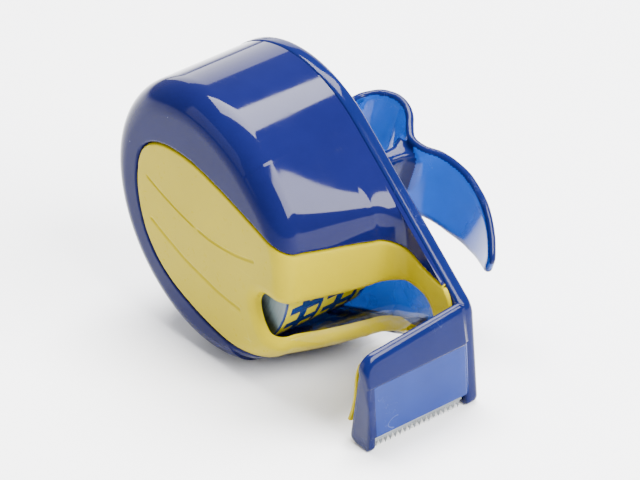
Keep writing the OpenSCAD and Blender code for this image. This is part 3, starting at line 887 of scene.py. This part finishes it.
def make_saddle():
    """Two curved wings on a stem, remeshed together so that they blend."""
    middle = spline([(-12.5, -5.4), (-12.7, -2.6), (-11.2, -0.2), (-9.5, 1.1), (-7.6, 1.7), (-5.7, 1.5),
                     (-4, 0.7), (-2.4, -0.5), (0, -1.8), (2.6, -1.1), (4.6, 0.5), (6.8, 1.6), (10, 2.4),
                     (14, 2.6), (17.6, 2), (21, 0.7), (24, -1)], False, 10)
    slope = np.gradient(middle, axis=0)
    out = np.stack([-slope[:, 1], slope[:, 0]], 1) / np.linalg.norm(slope, axis=1)[:, None]
    half = SADDLE["thick"] / 2
    wing_points, stem_points, stem_power = 48, 56, 0.35
    run = np.concatenate([[0], np.cumsum(np.linalg.norm(np.diff(middle, axis=0), axis=1))])
    sections = []
    for (u, v), (nu, nv), s in zip(middle, out, run):
        end = min(s, run[-1] - s)
        taper = math.sqrt(max(0.02, 1 - (1 - min(end / half, 1)) ** 2))
        reach = wing_half_width(u) - half
        ring = []
        for k in range(wing_points):
            turn = 2 * math.pi * k / wing_points
            side = 1 if math.cos(turn) >= 0 else -1
            w = side * reach + half * math.cos(turn) if abs(math.cos(turn)) > 1e-6 else 0.0
            t = half * taper * math.sin(turn)
            ring.append(saddle_point(u + nu * t, SADDLE["height"] + v + nv * t, w))
        sections.append(np.array(ring))
    wings = loft("saddle_moulding", sections, CLEAR)

    # height over the plate, half width along u and half width across, flared at both ends
    stem_form = ((-0.4, 4.6, 6.9), (0.2, 4.3, 6.8), (0.9, 3.0, 6.5), (1.8, 2.1, 6.3), (3.4, 1.6, 6.2),
                 (6.4, 1.5, 6.2), (8.4, 1.8, 6.3), (9.6, 2.6, 6.5), (10.6, 3.4, 6.7), (11.2, 3.2, 6.6))
    stem_sections = []
    for v, along, across in stem_form:
        ring = []
        for k in range(stem_points):
            turn = 2 * math.pi * k / stem_points
            u = along * math.copysign(abs(math.cos(turn)) ** stem_power, math.cos(turn))
            w = across * math.copysign(abs(math.sin(turn)) ** stem_power, math.sin(turn))
            ring.append(saddle_point(u, v, w))
        stem_sections.append(np.array(ring))
    stem = loft("stem", stem_sections, CLEAR)
    saddle = join([wings, stem])
    run_modifier(saddle, "REMESH", mode="VOXEL", voxel_size=0.00028)
    run_modifier(saddle, "SMOOTH", factor=0.5, iterations=14)
    smooth(saddle, 180)

    def at_edge(x, y, z):
        c, s = math.cos(SADDLE["turn"]), math.sin(SADDLE["turn"])
        right, up = x - SADDLE["x"], z - SADDLE["z"]
        u, v, w = right * c - up * s, y - PLATE_Y - SADDLE["height"], right * s + up * c
        wing_edge = np.abs(w) > wing_half_width(u) - 0.75
        stem = (v < -2.4) & (np.abs(u) < 5)
        hooked_end = (u < -12) & (v < -4.6)
        return wing_edge | stem | hooked_end

    # painted shade: the wings' edges, the stem and the hooked end take the darker copy of the moulding, for
    # light lost through more plastic
    paint(saddle, SHADED_BLUE, at_edge)
    finish_piece(saddle, "base", "clear_blue", "finger_saddle")


# ---- tape ---------------------------------------------------------------------------------------

def lathe(name, profile, material):
    """Closed ring turned about the roll's axis: profile is a list of (radius, y)."""
    steps, m = 160, len(profile)
    points, faces = [], []
    for j in range(steps):
        turn = 2 * math.pi * j / steps
        points += [(r * math.cos(turn), y, r * math.sin(turn)) for r, y in profile]
        here, there = j * m, ((j + 1) % steps) * m
        faces += [(here + i, there + i, there + (i + 1) % m, here + (i + 1) % m) for i in range(m)]
    return add_object(name, to_row(points), faces, material)


def make_roll():
    """The wound tape, with slightly uneven layers at both ends, on its card core."""
    inner, edge, uneven, chamfer = CORE_R + CORE_WALL, 0.12, 0.05, 0.15
    near_y, far_y = TAPE_Y, TAPE_Y + TAPE_W
    rng = np.random.default_rng(7)
    layers = np.linspace(inner + 0.02, ROLL_R - edge, 46)
    near = [(r, near_y + 0.02 + uneven * rng.random()) for r in layers]
    far = [(r, far_y - 0.02 - uneven * rng.random()) for r in layers[::-1]]
    wound = lathe("wound_film", near + [(ROLL_R, near_y + edge), (ROLL_R, far_y - edge)] + far, WOUND)
    finish_piece(wound, "roll", "wound_tape", "tape_roll")
    core = lathe("card_core", [
        (CORE_R, near_y + chamfer), (CORE_R + chamfer, near_y), (inner - chamfer, near_y),
        (inner, near_y + chamfer), (inner, far_y - chamfer), (inner - chamfer, far_y),
        (CORE_R + chamfer, far_y), (CORE_R, far_y - chamfer)], CARD)
    finish_piece(core, "roll", "card", "tape_core")


def make_lead():
    """The free end: off the roll's lower side, over the window's lip and the tongue, down to the teeth."""
    r = ROLL_R + 0.5                           # it leaves just clear of the roll's outside
    lip, crest = np.array([21.2, -11.75]), np.array([41.3, -0.6])
    leave = math.atan2(lip[1], lip[0]) - math.acos(r / np.linalg.norm(lip))
    start = r * np.array([math.cos(leave), math.sin(leave)])
    over = spline([crest, (41.6, -1.6), (41.72, -4), (41.8, -8), (42.15, -16.8)], False, 8)
    to_lip = [start + (lip - start) * k / 6 for k in range(6)]
    to_crest = [lip + (crest - lip) * k / 10 for k in range(10)]
    line = np.concatenate([to_lip, to_crest, over])
    slope = np.gradient(line, axis=0)
    out = np.stack([-slope[:, 1], slope[:, 0]], 1) / np.linalg.norm(slope, axis=1)[:, None]
    thick, clear, inset, columns = 0.06, 0.05, 0.1, 9
    ys = np.linspace(TAPE_Y + inset, TAPE_Y + TAPE_W - inset, columns)
    points = [(p[0] + n[0] * t, y, p[1] + n[1] * t)
              for t in (clear, clear + thick) for p, n in zip(line, out) for y in ys]
    rows = len(line)
    sheet = ring_faces(rows, columns, False)
    count = rows * columns
    faces = sheet + [tuple(i + count for i in f[::-1]) for f in sheet]
    border = ([(j * columns, (j + 1) * columns) for j in range(rows - 1)]
              + [((j + 1) * columns - 1, (j + 2) * columns - 1) for j in range(rows - 1)]
              + [(i, i + 1) for i in range(columns - 1)]
              + [((rows - 1) * columns + i, (rows - 1) * columns + i + 1) for i in range(columns - 1)])
    faces += [(a, b, b + count, a + count) for a, b in border]
    film = add_object("film_lead", to_row(points), faces, FILM, 60)
    finish_piece(film, "cover", "tape_film", "tape_lead")


# ---- floor, light and camera --------------------------------------------------------------------

def make_floor():
    """A wide flat floor under the dispenser."""
    mesh = bpy.data.meshes.new("studio_floor")
    half = 3.0
    corners = [(-half, -half, 0), (half, -half, 0), (half, half, 0), (-half, half, 0)]
    mesh.from_pydata(corners, [], [(0, 1, 2, 3)])
    mesh.materials.append(studio_floor())
    floor = bpy.data.objects.new("studio_floor", mesh)
    bpy.context.scene.collection.objects.link(floor)


def make_light(name, place, aim, size, power):
    """A soft box: place and aim are points in the row frame, in metres."""
    data = bpy.data.lights.new(name, "AREA")
    data.shape = "RECTANGLE"
    data.size, data.size_y = size
    data.energy = power
    lamp = bpy.data.objects.new(name, data)
    lamp.location = place
    lamp.rotation_euler = (Vector(aim) - Vector(place)).to_track_quat("-Z", "Y").to_euler()
    lamp.visible_camera = False
    bpy.context.scene.collection.objects.link(lamp)


def make_camera():
    """A long lens that looks from the front and above at the side face, so the nose points down right."""
    around, above = math.radians(53), math.radians(37)
    back = direction_to_row((math.sin(around) * math.cos(above), -math.cos(around) * math.cos(above),
                             math.sin(above)))
    right = direction_to_row((math.cos(around), math.sin(around), 0))
    up = back.cross(right)
    face_centre = Vector(to_row([(0, 0, 0)])[0])
    view_width = 0.1067                            # width that the frame takes in at the object
    aim_right, aim_down = 0.0208, 0.0018           # from the middle of the side face to the frame's middle
    aim = face_centre + right * aim_right - up * aim_down
    distance, sensor = 0.75, 36
    data = bpy.data.cameras.new("camera")
    data.sensor_width = sensor
    data.lens = sensor * distance / view_width
    data.clip_start, data.clip_end = 0.01, 20
    camera = bpy.data.objects.new("camera", data)
    turn = Matrix((right, up, back)).transposed().to_4x4()
    camera.matrix_world = Matrix.Translation(aim + back * distance) @ turn
    bpy.context.scene.collection.objects.link(camera)
    bpy.context.scene.camera = camera


def make_studio():
    """A pale surround and four soft boxes."""
    world = bpy.data.worlds.new("studio")
    world.use_nodes = True
    background = world.node_tree.nodes["Background"].inputs
    background["Color"].default_value = (0.94, 0.96, 1.0, 1)
    background["Strength"].default_value = 0.5
    bpy.context.scene.world = world
    aim = (0, 0, 0.02)
    make_light("overhead", (-0.14, 0.13, 0.64), aim, (0.54, 0.30), 21)
    make_light("front_box", (0.63, 0.12, 0.52), aim, (0.50, 0.44), 25)
    make_light("left_fill", (-0.35, -0.70, 0.25), aim, (0.6, 0.4), 3)
    make_light("backdrop_glow", (-0.90, 0.72, 0.36), aim, (1.0, 0.60), 9)


make_camera()
make_studio()
make_floor()
make_cover()
make_panel()
make_plate()
make_guard()
make_blade()
make_saddle()
make_roll()
make_lead()
keep_node("spindle_hub", YELLOW)
keep_node("hub_screw", STEEL)
keep_node("saddle_screws", STEEL)
keep_node("blade_rivets", CLEAR)
